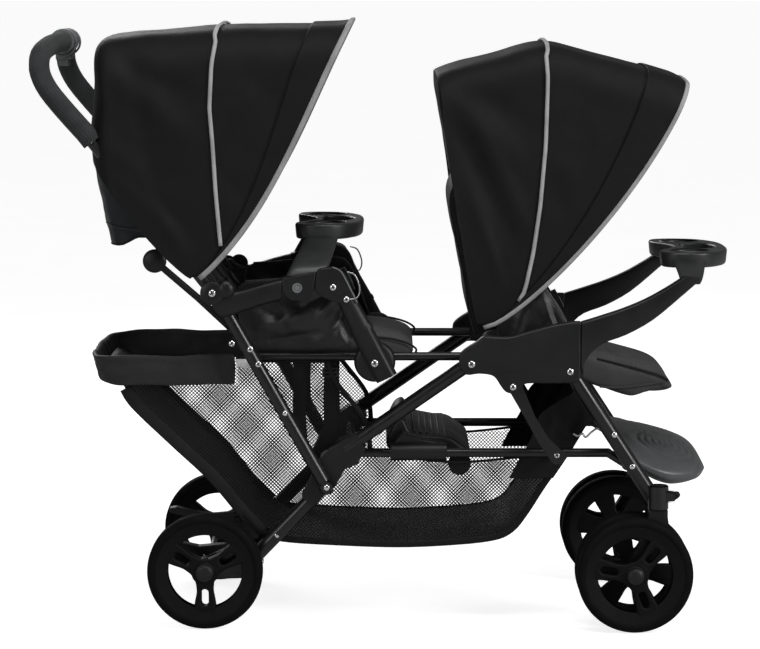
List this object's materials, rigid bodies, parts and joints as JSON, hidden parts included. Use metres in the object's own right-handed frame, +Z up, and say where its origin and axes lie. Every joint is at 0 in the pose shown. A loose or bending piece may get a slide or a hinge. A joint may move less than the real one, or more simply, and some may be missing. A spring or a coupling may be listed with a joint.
{
  "type": "tandem double stroller",
  "caption": "Tandem stroller: seats in line under arched canopies, child trays, mesh basket, foam push handle, swivel front casters and braked rear wheels.",
  "frame": {"origin": "on the ground, mid length and mid width", "axes": "+X to the front (direction of travel), +Y to the left side, +Z up"},
  "size_m": [1.2298, 0.5624, 1.059],
  "materials": {
    "frame_paint": "satin",
    "steel": "satin",
    "charcoal_plastic": "satin",
    "gray_plastic": "satin",
    "foam": "matte",
    "black_fabric": "matte",
    "wheel": "matte"
  },
  "bodies": {
    "chassis": {"rear_leg_right": "frame_paint", "rear_leg_left": "frame_paint", "rear_axle": "steel", "cross_tube": "frame_paint", "elbow_bracket_right": "charcoal_plastic", "elbow_bracket_left": "charcoal_plastic", "diagonal_tube_right": "frame_paint", "diagonal_tube_left": "frame_paint", "rear_post_right": "frame_paint", "rear_post_left": "frame_paint", "seat_rail_right": "frame_paint", "seat_rail_left": "frame_paint", "armrest_right": "charcoal_plastic", "armrest_left": "charcoal_plastic", "side_plate_right": "charcoal_plastic", "side_plate_left": "charcoal_plastic", "front_arm_right": "charcoal_plastic", "front_arm_left": "charcoal_plastic", "front_leg_right": "frame_paint", "front_leg_left": "frame_paint", "lower_bar_right": "frame_paint", "lower_bar_left": "frame_paint", "front_link_right": "frame_paint", "front_link_left": "frame_paint", "front_footrest": "charcoal_plastic", "rear_footrest": "charcoal_plastic", "basket": "black_fabric", "rear_seat": "black_fabric", "front_seat": "black_fabric", "rear_buckle": "charcoal_plastic", "front_buckle": "charcoal_plastic", "front_canopy": "black_fabric"},
    "handle": {"handle_tube": "frame_paint", "handle_grip": "foam", "handle_console": "gray_plastic", "rear_canopy": "black_fabric"},
    "fold_trigger": {"fold_trigger": "gray_plastic"},
    "rear_canopy_band": {"rear_canopy_band": "black_fabric"},
    "front_canopy_band": {"front_canopy_band": "black_fabric"},
    "rear_seat_back": {"rear_seat_back": "black_fabric"},
    "front_seat_back": {"front_seat_back": "black_fabric"},
    "rear_tray": {"rear_tray": "charcoal_plastic"},
    "front_tray": {"front_tray": "charcoal_plastic"},
    "tray_button_right": {"tray_button_right": "gray_plastic"},
    "tray_button_left": {"tray_button_left": "gray_plastic"},
    "rear_wheel_right": {"rear_wheel_right": "wheel"},
    "rear_wheel_left": {"rear_wheel_left": "wheel"},
    "caster_right": {"caster_right": "charcoal_plastic"},
    "caster_left": {"caster_left": "charcoal_plastic"},
    "front_wheel_right_outer": {"front_wheel_right_outer": "wheel"},
    "front_wheel_right_inner": {"front_wheel_right_inner": "wheel"},
    "front_wheel_left_outer": {"front_wheel_left_outer": "wheel"},
    "front_wheel_left_inner": {"front_wheel_left_inner": "wheel"},
    "brake_pedal_right": {"brake_pedal_right": "charcoal_plastic"},
    "brake_pedal_left": {"brake_pedal_left": "charcoal_plastic"},
    "caster_lock_right": {"caster_lock_right": "charcoal_plastic"},
    "caster_lock_left": {"caster_lock_left": "charcoal_plastic"},
    "rear_buckle_button": {"rear_buckle_button": "gray_plastic"},
    "front_buckle_button": {"front_buckle_button": "gray_plastic"}
  },
  "joints": [
    {"name": "handle_fold", "type": "hinge", "parent": "chassis", "child": "handle", "pos_m": [-0.299, 0, 0.595], "axis": [0, 1, 0], "range_deg": [0, 12]},
    {"name": "fold_trigger_squeeze", "type": "slide", "parent": "handle", "child": "fold_trigger", "axis": [0, 0, 1], "range_m": [0, 0.006], "stiffness_N_per_m": 200},
    {"name": "rear_canopy_open", "type": "hinge", "parent": "handle", "child": "rear_canopy_band", "pos_m": [-0.305, 0, 0.606], "axis": [0, 1, 0], "range_deg": [-38, 0]},
    {"name": "front_canopy_open", "type": "hinge", "parent": "chassis", "child": "front_canopy_band", "pos_m": [0.204, 0, 0.541], "axis": [0, 1, 0], "range_deg": [-38, 0]},
    {"name": "rear_seat_recline", "type": "hinge", "parent": "handle", "child": "rear_seat_back", "pos_m": [-0.254, 0, 0.524], "axis": [0, 1, 0], "range_deg": [0, 20]},
    {"name": "front_seat_recline", "type": "hinge", "parent": "chassis", "child": "front_seat_back", "pos_m": [0.166, 0, 0.52], "axis": [0, 1, 0], "range_deg": [-22, 0], "stiffness_Nm_per_rad": 80},
    {"name": "rear_tray_lift", "type": "slide", "parent": "chassis", "child": "rear_tray", "axis": [0, 0, 1], "range_m": [0, 0.04]},
    {"name": "front_tray_lift", "type": "slide", "parent": "chassis", "child": "front_tray", "axis": [0, 0, 1], "range_m": [0, 0.05]},
    {"name": "tray_button_right_press", "type": "slide", "parent": "chassis", "child": "tray_button_right", "axis": [0, 1, 0], "range_m": [0, 0.002], "stiffness_N_per_m": 300},
    {"name": "tray_button_left_press", "type": "slide", "parent": "chassis", "child": "tray_button_left", "axis": [0, -1, 0], "range_m": [0, 0.002], "stiffness_N_per_m": 300},
    {"name": "rear_wheel_right_spin", "type": "hinge", "parent": "chassis", "child": "rear_wheel_right", "pos_m": [-0.316, -0.224, 0.1016], "axis": [0, 1, 0], "continuous": true},
    {"name": "rear_wheel_left_spin", "type": "hinge", "parent": "chassis", "child": "rear_wheel_left", "pos_m": [-0.316, 0.224, 0.1016], "axis": [0, 1, 0], "continuous": true},
    {"name": "caster_right_swivel", "type": "hinge", "parent": "chassis", "child": "caster_right", "pos_m": [0.478, -0.231, 0.2], "axis": [0, 0, 1], "continuous": true},
    {"name": "front_wheel_right_outer_spin", "type": "hinge", "parent": "caster_right", "child": "front_wheel_right_outer", "pos_m": [0.436, -0.262, 0.1016], "axis": [0, 1, 0], "continuous": true},
    {"name": "front_wheel_right_inner_spin", "type": "hinge", "parent": "caster_right", "child": "front_wheel_right_inner", "pos_m": [0.436, -0.2, 0.1016], "axis": [0, 1, 0], "continuous": true},
    {"name": "brake_right_press", "type": "hinge", "parent": "chassis", "child": "brake_pedal_right", "pos_m": [-0.276, -0.164, 0.128], "axis": [0, 1, 0], "range_deg": [-15, 0], "stiffness_Nm_per_rad": 2},
    {"name": "caster_lock_right_flip", "type": "hinge", "parent": "chassis", "child": "caster_lock_right", "pos_m": [0.501, -0.231, 0.236], "axis": [0, 1, 0], "range_deg": [0, 25], "stiffness_Nm_per_rad": 0.3},
    {"name": "caster_left_swivel", "type": "hinge", "parent": "chassis", "child": "caster_left", "pos_m": [0.478, 0.231, 0.2], "axis": [0, 0, 1], "continuous": true},
    {"name": "front_wheel_left_outer_spin", "type": "hinge", "parent": "caster_left", "child": "front_wheel_left_outer", "pos_m": [0.436, 0.262, 0.1016], "axis": [0, 1, 0], "continuous": true},
    {"name": "front_wheel_left_inner_spin", "type": "hinge", "parent": "caster_left", "child": "front_wheel_left_inner", "pos_m": [0.436, 0.2, 0.1016], "axis": [0, 1, 0], "continuous": true},
    {"name": "brake_left_press", "type": "hinge", "parent": "chassis", "child": "brake_pedal_left", "pos_m": [-0.276, 0.164, 0.128], "axis": [0, 1, 0], "range_deg": [-15, 0], "stiffness_Nm_per_rad": 2},
    {"name": "caster_lock_left_flip", "type": "hinge", "parent": "chassis", "child": "caster_lock_left", "pos_m": [0.501, 0.231, 0.236], "axis": [0, 1, 0], "range_deg": [0, 25], "stiffness_Nm_per_rad": 0.3},
    {"name": "rear_buckle_press", "type": "slide", "parent": "chassis", "child": "rear_buckle_button", "axis": [-0.9063, 0, -0.4226], "range_m": [0, 0.003], "stiffness_N_per_m": 300},
    {"name": "front_buckle_press", "type": "slide", "parent": "chassis", "child": "front_buckle_button", "axis": [-0.9063, 0, -0.4226], "range_m": [0, 0.003], "stiffness_N_per_m": 300}
  ]
}
